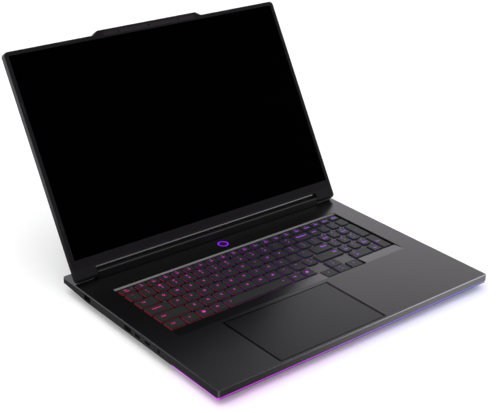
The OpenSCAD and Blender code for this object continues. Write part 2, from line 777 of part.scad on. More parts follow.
module cover_screws() {
  color("#55555a") placed() for (p = posts) translate([p[0], p[1], foot_h + seat]) {
    cylinder(h = 0.6, r = head_r);
    cylinder(h = 7, r = screw_r);
  }
}

// ---------- inside the base ----------

fan_box_low = [fan_x - fan_size / 2, fan_y - fan_size / 2];
fan_box_high = [fan_x + fan_size / 2, fan_y + fan_size / 2];
side_x = floor_x - 2;

module motherboard() {
  x = side_x;
  middle = fan_box_low[0] - 2;
  edge = fan_box_high[0] + 4;
  rear = fan_box_high[1];
  color("#16321f") placed() difference() {
    union() {
      translate([0, 0, board_z]) linear_extrude(board_t) {
        translate([-x, pad_high[1] + 1]) square([2 * x, fan_box_low[1] - pad_high[1] - 3]);
        translate([-middle, pad_high[1] + 1]) square([2 * middle, rear - pad_high[1]]);
        translate([-x, pad_high[1] + 1]) square([x - edge, rear - pad_high[1]]);
      }
      for (side = [-1, 1]) translate([side * 30, fan_y - 4, board_z])
        linear_extrude(board_t + 1) square([34, 34], center = true);
    }
    for (p = posts) translate([p[0], p[1], 0]) cylinder(h = deck_z, r = post_r + 0.4);
  }
}

spreader_z = board_z + board_t + 1 + seat;
pipe_r = (light_sheet_z - 0.15 - spreader_z) / 2;
pipe_y = fan_box_high[1] + 2 + pipe_r;
fin_y = pipe_y + pipe_r + seat;

// Spreader plate on both chips, and the pipes that carry its heat to the fins
module heat_pipes() {
  x = fan_box_high[0];
  z = spreader_z + pipe_r;
  color("#b06a3c") placed() {
    span([-fan_box_low[0] + 23, fan_y - 24, spreader_z], [fan_box_low[0] - 23, pipe_y, spreader_z + 1.6]);
    translate([-x, pipe_y, z]) rotate([0, 90, 0]) cylinder(h = 2 * x, r = pipe_r);
    for (side = [-1, 1]) translate([side * 30, fan_y - 24, z]) rotate([-90, 0, 0])
      cylinder(h = pipe_y - fan_y + 24, r = pipe_r);
  }
}

// Comb of thin plates in each rear corner, in the fans' outlet
module fin_stacks() {
  z0 = spreader_z - 0.6;
  z1 = light_sheet_z + 2.4;
  pitch = 3.2;
  fins = floor((fan_size - 6) / pitch);
  rear = body_d - vent_t - 3;
  color("#8c8c90") placed() both_sides() {
    span([fan_box_low[0] + 3, fin_y, z1 - 0.5], [fan_box_high[0] - 3, rear, z1]);
    for (i = [0 : fins]) translate([fan_box_low[0] + 3 + i * pitch, fin_y, z0])
      cube([0.6, rear - fin_y, z1 - z0 - 0.2]);
  }
}

module fan_housings() {
  skin = 1;
  color("#18181a") placed() both_sides() difference() {
    union() {
      difference() {
        span([fan_box_low[0], fan_box_low[1], fan_z], [fan_box_high[0], fan_box_high[1], fan_top]);
        translate([fan_x, fan_y, fan_z + skin]) cylinder(h = fan_top - fan_z - 2 * skin, r = fan_r + 4);
        span([fan_x - fan_r - 2, fan_y, fan_z + skin], [fan_x + fan_r + 2, fan_box_high[1] + 1, fan_top - skin]);
        translate([fan_x, fan_y, fan_z + skin]) cylinder(h = fan_top, r = fan_r - 6);
      }
      translate([fan_x, fan_y, fan_z]) cylinder(h = fan_top - fan_z - 1.6, r = fan_pin_r);
    }
    for (a = [0 : 60 : 300]) translate([fan_x, fan_y, fan_z - 1]) rotate(a) translate([16, 0, 0])
      cylinder(h = skin + 1.5, r = 5);
  }
}
fan_pin_r = 1.5;
fan_bore_r = fan_pin_r + 0.05;

// Hub on the fan's pin with straight blades round it
module fan_rotor(side) {
  z0 = fan_z + 1.8;
  h = fan_top - 1.8 - z0;
  blades = 29;
  color("#202022") placed() translate([side * fan_x, fan_y, z0]) difference() {
    union() {
      cylinder(h = h, r = 11);
      for (i = [0 : blades - 1]) rotate(i * 360 / blades) translate([10, -0.35, 0.4])
        cube([fan_r - 10, 0.7, h - 0.8]);
    }
    translate([0, 0, -1]) cylinder(h = h + 2, r = fan_bore_r);
  }
}
module fan_rotor_left() { fan_rotor(-1); }
module fan_rotor_right() { fan_rotor(1); }

module battery_pack() {
  cell_count = 4;
  low = [-battery_x, front_slope + 4, floor_z + 0.2];
  high = [battery_x, pad_high[1] - 8, light_sheet_z - 1];
  cell = (high[0] - low[0] - 2) / cell_count;
  color("#202024") placed() {
    span(low, [high[0], high[1], low[2] + 0.8]);
    for (i = [0 : cell_count - 1])
      span([low[0] + 2 + i * cell, low[1] + 2, low[2] + 0.7], [low[0] + i * cell + cell, high[1] - 2, high[2]]);
  }
}

module memory_modules() {
  color("#1c5a34") placed() for (side = [-1, 1]) translate([side * 38, pad_high[1] + 30.5, 0]) {
    span([-34.8, -15, board_z - 1.6], [34.8, 15, board_z - 0.4]);
    for (i = [-1.5 : 1.5]) span([i * 17 - 5, -8, board_z - 2.6], [i * 17 + 5, 4, board_z - 1.5]);
  }
}

module storage_modules() {
  color("#1c4a6a") placed() for (side = [-1, 1]) translate([side * (fan_x + 4), pad_high[1] + 42.5, 0]) {
    span([-40, -11, board_z - 1.4], [40, 11, board_z - 0.4]);
    span([-20, -7, board_z - 2.4], [10, 7, board_z - 1.3]);
  }
}

module wireless_card() {
  color("#1c5a34") placed() {
    span([-11, fan_y - 42, board_z - 1.2], [11, fan_y - 12, board_z - 0.4]);
    span([-8, fan_y - 38, board_z - 2.6], [8, fan_y - 18, board_z - 1.1]);
  }
}

module speakers() {
  color("#151517") placed() both_sides() difference() {
    span([speaker_x, front_slope + 6, floor_z + 0.2],
      [speaker_x + speaker_w, pad_high[1] - 8, floor_z + 8]);
    translate([speaker_x + speaker_w / 2 - 1, pad_high[1] / 2 + 1, floor_z + 7]) cylinder(h = 2, r = 14);
  }
}

// ---------- hinges ----------

// Barrel in each end of the hinge bar, on a neck through the deck with a foot below it
module hinge_brackets() {
  foot = 1.5;
  color("#6a6a6e") placed() both_sides() difference() {
    union() {
      translate([bracket_x, hinge_y, hinge_z]) rotate([0, 90, 0]) cylinder(h = bracket_w, r = barrel_r);
      span([bracket_x, hinge_y - 1.8, deck_under - foot], [bracket_x + bracket_w, hinge_y + 1.8, hinge_z]);
      span([bracket_x - 6, hinge_y - 11, deck_under - seat - foot],
        [bracket_x + bracket_w + 6, hinge_y + 11, deck_under - seat]);
    }
    translate([bracket_x - 1, hinge_y, hinge_z]) rotate([0, 90, 0])
      cylinder(h = bracket_w + 2, r = pin_r + pin_fit);
  }
}

arm_x = notch_x + 1.2;
arm_w = 14;
arm_low = back_z + lid_skin + seat;
arm_high = panel_top - panel_t - seat;

// Arm screwed to the lid's back plate, with the pin that turns in the barrel
module hinge_arms() {
  color("#6a6a6e") lid_placed() both_sides() {
    difference() {
      translate([bracket_x + 0.5, 0, 0]) rotate([0, 90, 0])
        cylinder(h = arm_x + arm_w - bracket_x - 0.5, r = pin_r);
      span([notch_x - 0.4, -big, -big], [big, big, arm_low]);
    }
    span([arm_x, -pin_r, arm_low], [arm_x + arm_w, 62, min(arm_high, pin_r)]);
  }
}

// ---------- lid ----------

// Front view of the whole lid, with its ears, bump and round corners, less a margin
module lid_outline(margin = 0) {
  x = lid_w / 2 - margin;
  top = lid_h - margin;
  bump = bump_w / 2 - margin;
  difference() {
    round_rect([-x, -ear_r + margin], [x, top], lid_corner - margin);
    square([2 * notch_x, 2 * chin_reach], center = true);
  }
  polygon([[-bump - 1, top - 1], [-bump, top], [-bump + bump_slant, top + bump_h],
    [bump - bump_slant, top + bump_h], [bump, top], [bump + 1, top - 1]]);
}

// Side view of the lid: square above the axis, round about it below
module lid_side(low, high) {
  along_x(-lid_w, lid_w) intersection() {
    union() {
      circle(ear_r);
      translate([0, -big / 2]) square(big);
    }
    translate([-big / 2, low]) square([big * 2, high - low]);
  }
}

module lid_back_cover() {
  color("#242326") lid_placed() {
    intersection() {
      translate([0, 0, back_z]) linear_extrude(lid_skin) lid_outline();
      lid_side(back_z, face_z);
    }
    difference() {
      translate([0, 0, back_z]) linear_extrude(bezel_z - seat - back_z) lid_outline();
      translate([0, 0, back_z + lid_skin]) linear_extrude(lid_t) lid_outline(lid_skin);
      span([-lid_w, -2 * ear_r, back_z - 1], [lid_w, trim_top + seat, face_z]);
    }
  }
}

camera_y = lid_h + bump_h / 2 - 2.4;
mic_x = 44.4;

module lid_bezel() {
  color("#1a191b") lid_placed() translate([0, 0, bezel_z]) linear_extrude(bezel_t) difference() {
    lid_outline();
    translate([-view_w / 2, view_y]) square([view_w, view_h]);
    translate([-lid_w, -2 * ear_r]) square([2 * lid_w, trim_top + 2 * ear_r + seat]);
    translate([0, camera_y]) circle(1.3);
    for (side = [-1, 1]) translate([side * mic_x, camera_y]) circle(0.6);
  }
}

panel_edge = 1.6;

module display_panel() {
  low = [-view_w / 2 - panel_edge, view_y - panel_edge, panel_top - panel_t];
  high = [view_w / 2 + panel_edge, view_y + view_h + 1, panel_top];
  color("#050506") lid_placed() {
    span(low, high);
    span([-view_w / 2 + seat, view_y + seat, panel_top - eps],
      [view_w / 2 - seat, view_y + view_h - seat, face_z - 0.4]);
  }
}

// Strip along the chin's lower edge and the two ears, hollow round the hinge arms
module lid_hinge_trim() {
  low = back_z + lid_skin + seat;
  color("#262528") lid_placed() difference() {
    intersection() {
      translate([0, 0, low]) linear_extrude(face_z - low) intersection() {
        lid_outline();
        translate([-lid_w, -2 * ear_r]) square([2 * lid_w, trim_top + 2 * ear_r]);
      }
      lid_side(low, face_z);
    }
    both_sides() span([arm_x - 0.3, -pin_r - 0.3, low - 1], [arm_x + arm_w + 0.3, trim_top + 1, pin_r + 0.2]);
    both_sides() translate([notch_x - 1, 0, 0]) rotate([0, 90, 0]) cylinder(h = 4, r = pin_r + 0.2);
  }
}

module camera_module() {
  y0 = view_y + view_h + 1 + 0.3;
  color("#0c0c10") lid_placed() {
    span([-mic_x - 4, y0, panel_top - 2.6], [mic_x + 4, lid_h + bump_h - lid_skin - 1, panel_top - 0.9]);
    translate([0, camera_y, panel_top - 1]) cylinder(h = 1, r = 1.8);
  }
}

module lid_bumpers() {
  pad = 0.4;
  color("#0a0a0a") lid_placed() translate([0, 0, face_z]) linear_extrude(pad) {
    for (side = [-1, 1]) translate([side * (bump_w / 2 + 39.5), lid_h - top_bezel / 2])
      square([12, 1.6], center = true);
    for (side = [-1, 1], y = [view_y + 40, lid_h - 66]) translate([side * (lid_w - side_bezel) / 2, y])
      square([1.6, 12], center = true);
  }
}

// ---------- controls ----------

module power_ring_light() {
  color("#7a3cf0") placed() translate([0, power_y, 0]) difference() {
    union() {
      translate([0, 0, tray_z - 1]) cylinder(h = deck_z - seat - tray_z + 1, r = ring_r);
      translate([0, 0, tray_z - 1]) cylinder(h = deck_under - seat - tray_z + 1, r = ring_r + 2);
    }
    cylinder(h = 2 * deck_z, r = ring_r - ring_w);
  }
}

module power_button() {
  r = ring_r - ring_w - 0.2;
  color("#151418") placed() translate([0, power_y, deck_z - seat - 2]) cylinder(h = 2, r = r);
}

module touchpad() {
  color("#343335") placed() span([pad_low[0], pad_low[1], deck_z - seat - pad_t],
    [pad_high[0], pad_high[1], deck_z - seat]);
}

module privacy_switch() {
  knob = switch_slot[0] - switch_travel - 0.6;
  y0 = switch_y - switch_slot[0] / 2 + 0.3;
  color("#2b2b2d") placed() {
    span([body_w / 2 - wall_t - 1.3, y0 - 1.5, socket_z - 2], [body_w / 2 - wall_t - 0.2, y0 + knob + 1.5, socket_z + 2]);
    span([body_w / 2 - wall_t - 0.3, y0, socket_z - 1], [body_w / 2 - 0.1, y0 + knob, socket_z + 1]);
  }
}

top_case();
bottom_cover();
rear_vent_frame();
hinge_bar_cover();
keyboard_trim_bar();
keyboard_plate();
keyboard_backlight();
dome_sheet();
front_light_bar();
rubber_feet();
cover_screws();
motherboard();
heat_pipes();
fin_stacks();
fan_housings();
battery_pack();
memory_modules();
storage_modules();
wireless_card();
speakers();
ethernet_jack();
usb_a_sockets();
usb_c_sockets();
audio_jack();
video_socket();
power_inlet();
hinge_brackets();
power_ring_light();
fan_rotor_left();
fan_rotor_right();
power_button();
touchpad();
privacy_switch();
lid_back_cover();
lid_bezel();
display_panel();
lid_hinge_trim();
hinge_arms();
camera_module();
lid_bumpers();
top_row_keys();
number_row_keys();
backspace_key();
q_row_keys();
home_row_keys();
enter_key();
left_shift_key();
lower_row_keys();
right_shift_key();
modifier_keys();
space_bar();
up_arrow_key();
left_arrow_key();
down_arrow_key();
right_arrow_key();
numpad_digit_keys();
numpad_plus_key();
numpad_enter_key();
numpad_zero_key();
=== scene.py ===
import json
import math
import bmesh
import bpy
import numpy as np
from mathutils import Matrix, Vector


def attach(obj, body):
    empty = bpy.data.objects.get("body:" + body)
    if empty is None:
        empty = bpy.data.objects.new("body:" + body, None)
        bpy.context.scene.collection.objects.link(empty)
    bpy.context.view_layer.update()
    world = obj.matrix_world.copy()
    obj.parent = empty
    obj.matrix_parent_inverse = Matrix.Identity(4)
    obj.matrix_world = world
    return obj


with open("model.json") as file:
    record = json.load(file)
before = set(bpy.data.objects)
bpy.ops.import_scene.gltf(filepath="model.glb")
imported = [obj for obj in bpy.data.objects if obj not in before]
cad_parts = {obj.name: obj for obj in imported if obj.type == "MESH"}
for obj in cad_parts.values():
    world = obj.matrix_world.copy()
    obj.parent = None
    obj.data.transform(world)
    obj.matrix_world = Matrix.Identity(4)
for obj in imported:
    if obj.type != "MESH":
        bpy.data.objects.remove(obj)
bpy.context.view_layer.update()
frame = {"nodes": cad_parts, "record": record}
scene = bpy.context.scene
scene.view_settings.view_transform = "Standard"

# ---------------------------------------------------------------- camera
# The camera stands ahead of the laptop's left front corner and about two thirds of a
# metre above the floor, with a short portrait lens that looks down at 25 degrees.
EYE = (-0.77755, -0.91699, 0.64602)
AZIMUTH, ELEVATION, ROLL = (math.radians(a) for a in (-39.71, 25.402, 1.508))
FOCAL_PIXELS, CENTRE_X, CENTRE_Y = 1135.05, 235.17, 214.18
IMAGE_W, IMAGE_H, SENSOR = 500, 413, 36.0

back = Vector((math.sin(AZIMUTH) * math.cos(ELEVATION),
               -math.cos(AZIMUTH) * math.cos(ELEVATION), math.sin(ELEVATION)))
level = Vector((math.cos(AZIMUTH), math.sin(AZIMUTH), 0))
rise = back.cross(level)
right = level * math.cos(ROLL) + rise * math.sin(ROLL)
up = rise * math.cos(ROLL) - level * math.sin(ROLL)
lens = bpy.data.cameras.new("camera")
lens.sensor_width = SENSOR
lens.lens = FOCAL_PIXELS / IMAGE_W * SENSOR
lens.shift_x = (IMAGE_W / 2 - CENTRE_X) / IMAGE_W
lens.shift_y = (CENTRE_Y - IMAGE_H / 2) / IMAGE_W
lens.clip_start, lens.clip_end = 0.05, 50
camera = bpy.data.objects.new("camera", lens)
camera.matrix_world = Matrix.Translation(EYE) @ Matrix((right, up, back)).transposed().to_4x4()
scene.collection.objects.link(camera)
scene.camera = camera


# ---------------------------------------------------------------- studio
# A white paper floor under an overhead soft light, inside a white wall with a dim ceiling.
# A soft box at the right front lights the cut edges, a weaker one at the left rear opens
# the lid's shadow, and in mirrors the floor's left front is dark.
class Wire:
    """A shader socket used as a number: the operators and the steps below add nodes."""

    def __init__(self, tree, socket):
        self.tree, self.socket = tree, socket

    def math(self, operation, first, second=0.0):
        node = self.tree.nodes.new("ShaderNodeMath")
        node.operation = operation
        join(self.tree, node.inputs[0], first)
        join(self.tree, node.inputs[1], second)
        return Wire(self.tree, node.outputs[0])

    def __add__(self, other):
        return self.math("ADD", self, other)

    def __radd__(self, other):
        return self.math("ADD", other, self)

    def __sub__(self, other):
        return self.math("SUBTRACT", self, other)

    def __rsub__(self, other):
        return self.math("SUBTRACT", other, self)

    def __mul__(self, other):
        return self.math("MULTIPLY", self, other)

    def __rmul__(self, other):
        return self.math("MULTIPLY", other, self)

    def __truediv__(self, other):
        return self.math("DIVIDE", self, other)

    def __abs__(self):
        return self.math("ABSOLUTE", self)

    def larger(self, other):
        """The larger of the two values."""
        return self.math("MAXIMUM", self, other)

    def step(self, low, high):
        """0 at low, 1 at high and smooth between them; low may be the larger one."""
        node = self.tree.nodes.new("ShaderNodeMapRange")
        node.interpolation_type = "SMOOTHSTEP"
        ends = (low, high, 0.0, 1.0) if low < high else (high, low, 1.0, 0.0)
        for name, value in zip(("From Min", "From Max", "To Min", "To Max"), ends):
            node.inputs[name].default_value = value
        join(self.tree, node.inputs["Value"], self)
        return Wire(self.tree, node.outputs["Result"])

    def step_mm(self, low, high):
        """The same step between two places given in millimetres."""
        return self.step(low * MM, high * MM)

    def band(self, middle, half, soft):
        """1 within half less soft of the middle and 0 past half, all three in millimetres."""
        return abs(self - middle * MM).step_mm(half, half - soft)


def join(tree, slot, value):
    """Links a Wire into a node's input, or sets the number or colour there."""
    if isinstance(value, Wire):
        tree.links.new(value.socket, slot)
    elif slot.type == "RGBA":
        slot.default_value = (*value, 1.0)
    else:
        slot.default_value = value


class Shading:
    """The nodes of one material or of the room's light."""

    def __init__(self, tree):
        self.tree = tree

    def node(self, kind, settings=None, sockets=None, out=0):
        """A node of that kind: its settings first, then its sockets; gives the output named."""
        node = self.tree.nodes.new(kind)
        for name, value in (settings or {}).items():
            if name == "stops":
                points = node.color_ramp.elements
                while len(points) < len(value):
                    points.new(0.5)
                for point, (place, colour) in zip(points, value):
                    point.position, point.color = place, (*colour, 1.0)
            else:
                setattr(node, name, value)
        for name, value in (sockets or {}).items():
            join(self.tree, node.inputs[name], value)
        return Wire(self.tree, node.outputs[out])

    def end(self, kind, shader):
        """Links a shader into the tree's output node."""
        last = next(n for n in self.tree.nodes if n.type == kind)
        self.tree.links.new(shader.socket, last.inputs["Surface"])

    def shown(self):
        """1 for camera, mirror and glass rays, and 0 for the light that falls on things."""
        rays = [self.node("ShaderNodeLightPath", out=name)
                for name in ("Is Camera Ray", "Is Glossy Ray", "Is Transmission Ray")]
        return rays[0].larger(rays[1]).larger(rays[2])


class Finish(Shading):
    """One material on the surface shader, with its place in metres on x, y and z."""

    def __init__(self, name, **surface):
        self.material = bpy.data.materials.new(name)
        self.material.use_nodes = True
        super().__init__(self.material.node_tree)
        self.surface = next(n for n in self.tree.nodes if n.type == "BSDF_PRINCIPLED")
        self.place = self.node("ShaderNodeTexCoord", out="Object")
        self.x, self.y, self.z = (self.node("ShaderNodeSeparateXYZ", None, {0: self.place}, axis)
                                  for axis in "XYZ")
        self.set(**surface)

    def set(self, **surface):
        """Sets the surface shader's sockets, with _ for each space in their names."""
        for name, value in surface.items():
            join(self.tree, self.surface.inputs[name.replace("_", " ")], value)
        return self

    def noise(self, scale, detail=2.0, stretch=(1.0, 1.0, 1.0)):
        """Noise from 0 to 1 at scale bumps per metre, stretched along an axis if asked."""
        place = self.node("ShaderNodeVectorMath", {"operation": "MULTIPLY"}, {0: self.place, 1: stretch})
        grid = {"Vector": place, "Scale": scale, "Detail": detail}
        return self.node("ShaderNodeTexNoise", None, grid)

    def mix(self, factor, first, second):
        """The first colour where factor is 0, and the second where it is 1."""
        return self.node("ShaderNodeMix", {"data_type": "RGBA"}, {0: factor, 6: first, 7: second}, 2)

    def vary(self, pattern, dark, light, rough, more):
        """Goes from dark to light, and from rough to rough plus more, as pattern goes from 0 to 1."""
        return self.set(Base_Color=self.mix(pattern, dark, light), Roughness=rough + more * pattern)

    def ramp(self, value, stops):
        """Colour stops [(place, colour)] read at a value from 0 to 1."""
        return self.node("ShaderNodeValToRGB", {"stops": stops}, {"Fac": value}, "Color")

    def bump(self, height, distance):
        """Tilts the surface as if it stood height times distance (in metres) higher."""
        tilted = self.node("ShaderNodeBump", None, {"Height": height, "Distance": distance}, "Normal")
        return self.set(Normal=tilted)

    def dress(self, *pieces):
        """Gives each piece, a CAD node's name or a scene object, this material alone."""
        for piece in pieces:
            mesh = (frame["nodes"][piece] if isinstance(piece, str) else piece).data
            mesh.materials.clear()
            mesh.materials.append(self.material)
        return self


MM = 0.001
PAPER_HALF = 6.0
PAPER_GLOW = 0.16
WHITE, PAPER_WHITE, PAPER_DARK = (1.0, 1.0, 1.0), (0.88, 0.88, 0.88), (0.10, 0.10, 0.10)
DARK_SLANT, DARK_ACROSS, DARK_BACK = 0.3, (0.24, -0.10), (0.35, 0.20)
DARK_GLOW_LOSS = 0.9

floor_mesh = bpy.data.meshes.new("floor")
corners = [(-PAPER_HALF, -PAPER_HALF, 0), (PAPER_HALF, -PAPER_HALF, 0),
           (PAPER_HALF, PAPER_HALF, 0), (-PAPER_HALF, PAPER_HALF, 0)]
floor_mesh.from_pydata(corners, [], [(0, 1, 2, 3)])
floor = bpy.data.objects.new("floor", floor_mesh)
scene.collection.objects.link(floor)
paper = Finish("white_paper", Roughness=0.9, Specular_IOR_Level=0.0)
dark_side = (paper.x - DARK_SLANT * paper.y).step(*DARK_ACROSS) * paper.y.step(*DARK_BACK)
dark_side = dark_side * paper.node("ShaderNodeLightPath", out="Is Glossy Ray")
paper.set(Base_Color=paper.mix(dark_side, PAPER_WHITE, PAPER_DARK))
paper.bump(paper.noise(700.0), 0.00005)
matt = Wire(paper.tree, paper.surface.outputs[0])
glow = paper.node("ShaderNodeEmission", None, {
    "Color": WHITE, "Strength": PAPER_GLOW * (1.0 - DARK_GLOW_LOSS * dark_side)})
lifted = paper.node("ShaderNodeAddShader", None, {0: matt, 1: glow})
seen_paper = paper.node("ShaderNodeMixShader", None, {0: paper.shown(), 1: matt, 2: lifted})
paper.end("OUTPUT_MATERIAL", seen_paper)
paper.dress(floor)

CEILING = (0.030, 0.030, 0.038)
WALL_LOW, WALL_HIGH = math.sin(math.radians(23)), math.sin(math.radians(34))
WALL_EAST, WALL_NORTH, WALL_ENDS = 0.64, 0.77, (0.15, 0.55)
OVERHEAD_LIGHT, OVERHEAD_MIRRORED = 2.56, 0.35
OVERHEAD_LOW, OVERHEAD_HIGH = math.sin(math.radians(58)), math.sin(math.radians(72))
OVERHEAD_EAST, OVERHEAD_NORTH, OVERHEAD_SLANT = 0.97, 0.25, 0.95

room = bpy.data.worlds.new("room")
room.use_nodes = True
scene.world = room
light = Shading(room.node_tree)
direction = light.node("ShaderNodeTexCoord", out="Generated")
east, north, height = (light.node("ShaderNodeSeparateXYZ", None, {0: direction}, axis) for axis in "XYZ")
above = height.larger(0.0)
toward_right = OVERHEAD_EAST * east + OVERHEAD_NORTH * north
left_share = (1.0 - OVERHEAD_SLANT * toward_right).larger(0.0)
overhead = light.node("ShaderNodeBackground", None, {
    "Color": WHITE, "Strength": OVERHEAD_LIGHT * above * above * above * left_share})
rear_right = (WALL_EAST * east + WALL_NORTH * north).step(*WALL_ENDS)
white_part = height.step(WALL_HIGH, WALL_LOW) * rear_right
white_part = white_part.larger(OVERHEAD_MIRRORED * height.step(OVERHEAD_LOW, OVERHEAD_HIGH))
white_part = white_part.larger(light.node("ShaderNodeLightPath", out="Is Camera Ray"))
tint = light.node("ShaderNodeMix", {"data_type": "RGBA"}, {0: white_part, 6: CEILING, 7: WHITE}, 2)
surround = light.node("ShaderNodeBackground", None, {"Color": tint, "Strength": 1.0})
seen_room = light.node("ShaderNodeMixShader", None, {0: light.shown(), 1: overhead, 2: surround})
light.end("OUTPUT_WORLD", seen_room)

BOX_PLACE, BOX_AIM, BOX_SIZE, BOX_WATTS = (1.68, -1.06, 1.03), (0.2, -0.2, 0.0), (0.8, 0.8), 2.5
REAR_PLACE, REAR_AIM, REAR_SIZE, REAR_WATTS = (-0.80, 0.80, 0.50), (-0.36, 0.20, 0.0), (0.4, 0.4), 2.1


def area_lamp(name, place, aim, size, watts, colour=WHITE):
    """An area lamp of that width and height at place, turned towards aim."""
    lamp = bpy.data.lights.new(name, "AREA")
    lamp.shape, lamp.size, lamp.size_y, lamp.energy, lamp.color = "RECTANGLE", *size, watts, colour
    holder = bpy.data.objects.new(name, lamp)
    turn = (Vector(aim) - Vector(place)).to_track_quat("-Z", "Y")
    holder.matrix_world = Matrix.Translation(place) @ turn.to_matrix().to_4x4()
    scene.collection.objects.link(holder)
    return holder


area_lamp("soft_box", BOX_PLACE, BOX_AIM, BOX_SIZE, BOX_WATTS)
rear_box = area_lamp("rear_box", REAR_PLACE, REAR_AIM, REAR_SIZE, REAR_WATTS)
rear_box.visible_glossy = False

# ---------------------------------------------------------------- top case
# The deck and its walls are one aluminium pressing, bead-blasted and anodised dark
# grey; the walls are painted a little darker, as shade. The chamfers and front corner facets
# are cut bright afterwards, the left sockets' marks are printed grey, and the touchpad's
# well and a rim round it are painted black, as the shade in the gap round the pad.
HALF_W, HALF_D, DECK_Z = 200.0, 203.778, 20.0
REAR_Y = 85.222
CHAMFER, FACET, WALL_SOFT = 0.8, 1.4, 0.05
EDGE_START, EDGE_FULL = 0.10, 0.04
MARK_Y = (22.2, -55.4, -73.9, -91.8, -108.4)
MARK_Z, MARK_HALF_LONG, MARK_HALF_HIGH, MARK_SOFT = 14.8, 1.0, 0.9, 0.2
MARK_SIDE = (0.3 - HALF_W, 0.1 - HALF_W)
PAD_X, PAD_Y = -40.1, -152.7
WELL_HALF_X, WELL_HALF_Y, WELL_SOFT = 76.4, 47.6, 0.2
BARE_CUT, BARE_FACET, MARK_GREY = (0.43, 0.42, 0.43), (0.62, 0.61, 0.62), (0.24, 0.24, 0.24)
WALL_PAINTED_SHADE, GAP_SHADE_BLACK = (0.168, 0.163, 0.170), (0.004, 0.004, 0.004)


def over(distance, edge):
    """0 short of edge less EDGE_START and 1 past edge less EDGE_FULL, both in millimetres."""
    return distance.step_mm(edge - EDGE_START, edge - EDGE_FULL)


deck = Finish("anodised_aluminium", Metallic=1.0)
cloud = deck.noise(9.0, 3.0)
grain = deck.noise(5200.0, 1.0)
beyond = DECK_Z - CHAMFER
cut = over(deck.z - deck.y, HALF_D + beyond).larger(over(abs(deck.x) + deck.z, HALF_W + beyond))
cut = cut.larger(over(deck.z + deck.y, REAR_Y + beyond))
facet = over(abs(deck.x) - deck.y, HALF_W + HALF_D - FACET)
upright = over(abs(deck.x), HALF_W).larger(over(0.0 - deck.y, HALF_D))
wall = upright * deck.z.step_mm(beyond, beyond - WALL_SOFT)
printed_mark = 0.0
for mark_y in MARK_Y:
    along = deck.y.band(mark_y, MARK_HALF_LONG, MARK_SOFT)
    printed_mark = printed_mark + along * deck.z.band(MARK_Z, MARK_HALF_HIGH, MARK_SOFT)
printed_mark = printed_mark * deck.x.step_mm(*MARK_SIDE)
satin_grey = deck.mix(cloud, (0.174, 0.166, 0.176), (0.192, 0.184, 0.194))
# Painted shade: the touchpad's well and a rim round it are black, for the gap round the pad.
pad_well = deck.x.band(PAD_X, WELL_HALF_X, WELL_SOFT) * deck.y.band(PAD_Y, WELL_HALF_Y, WELL_SOFT)
well = pad_well * (1.0 - wall)
# Painted shade: the walls a little darker than the deck.
shade_painted_deck = deck.mix(well, deck.mix(wall, satin_grey, WALL_PAINTED_SHADE), GAP_SHADE_BLACK)
edged = deck.mix(facet, deck.mix(cut, shade_painted_deck, BARE_CUT), BARE_FACET)
deck.set(Base_Color=deck.mix(printed_mark, edged, MARK_GREY),
         Roughness=0.20 + 0.04 * cloud + 0.05 * grain + 0.20 * wall)
deck.bump(grain * (1.0 - cut), 0.000012)
deck.dress("top_case")

# ---------------------------------------------------------------- keycaps
# Shallow moulded caps with a dark satin coat. Their side walls are painted darker than the
# tops, as shade, and the bottom of each side wall glows in the backlight's colour, painted
# light for the backlight that leaks up round the keys.
KEY_TOP = 19.2
SIDE_SHADE_ENDS, GLOW_ENDS = (KEY_TOP - 0.05, KEY_TOP - 0.45), (KEY_TOP - 0.8, KEY_TOP - 1.4)
FACING_FRONT, SIDE_TURN = 0.35, (0.5, 0.9)
FIELD_X, FIELD_W, MAIN_W = -168.5, 337.0, 273.8
FOOT_GLOW = [(0.0, (0.26, 0.004, 0.022)), (0.15, (0.22, 0.004, 0.045)), (0.32, (0.15, 0.007, 0.13)),
             (0.50, (0.08, 0.007, 0.15)), (0.75, (0.020, 0.006, 0.075)), (1.0, (0.008, 0.005, 0.045))]


def along_keys(finish):
    """0 at the left end of the keyboard and 1 at its right end."""
    return finish.x / (FIELD_W * MM) + 0.5


caps = Finish("coated_keycap", Specular_IOR_Level=1.1, Emission_Strength=1.0)
speck = caps.noise(3800.0, 1.0)
wear = caps.noise(60.0)
shade_painted_side = caps.z.step_mm(*SIDE_SHADE_ENDS)
# Painted light: the bottom of each side wall glows, more on faces turned left and right than on faces
# turned front or back, for the backlight leaking up round the keys.
facing = caps.node("ShaderNodeNewGeometry", out="Normal")
turned_side = abs(caps.node("ShaderNodeSeparateXYZ", None, {0: facing}, "X")).step(*SIDE_TURN)
glow_share = FACING_FRONT + (1.0 - FACING_FRONT) * turned_side
painted_leak_glow = caps.z.step_mm(*GLOW_ENDS) * glow_share
coat = caps.mix(wear, (0.0040, 0.0040, 0.0044), (0.0065, 0.0065, 0.0072))
# Painted shade: the side walls are darker than the tops.
caps.set(Base_Color=caps.mix(shade_painted_side, coat, (0.003, 0.003, 0.003)),
         Roughness=0.44 + 0.10 * speck + 0.25 * shade_painted_side,
         Emission_Color=caps.mix(painted_leak_glow, (0.0, 0.0, 0.0), caps.ramp(along_keys(caps), FOOT_GLOW)))
caps.bump(speck, 0.000010)
KEY_NODES = [n for n in frame["nodes"] if n.endswith(("_key", "_keys")) or n == "space_bar"]
caps.dress(*KEY_NODES)


def soften(pieces, width):
    """Joins each CAD mesh's loose triangles, then rounds its edges by that width in millimetres."""
    for name in pieces:
        joined = frame["nodes"][name].modifiers.new("joined", "WELD")
        joined.merge_threshold = 0.01 * MM
        rounded = frame["nodes"][name].modifiers.new("rounded", "BEVEL")
        rounded.width, rounded.segments = width * MM, 2
        rounded.limit_method, rounded.angle_limit = "ANGLE", math.radians(40)


KEY_ROUND = 0.28
soften(KEY_NODES, KEY_ROUND)

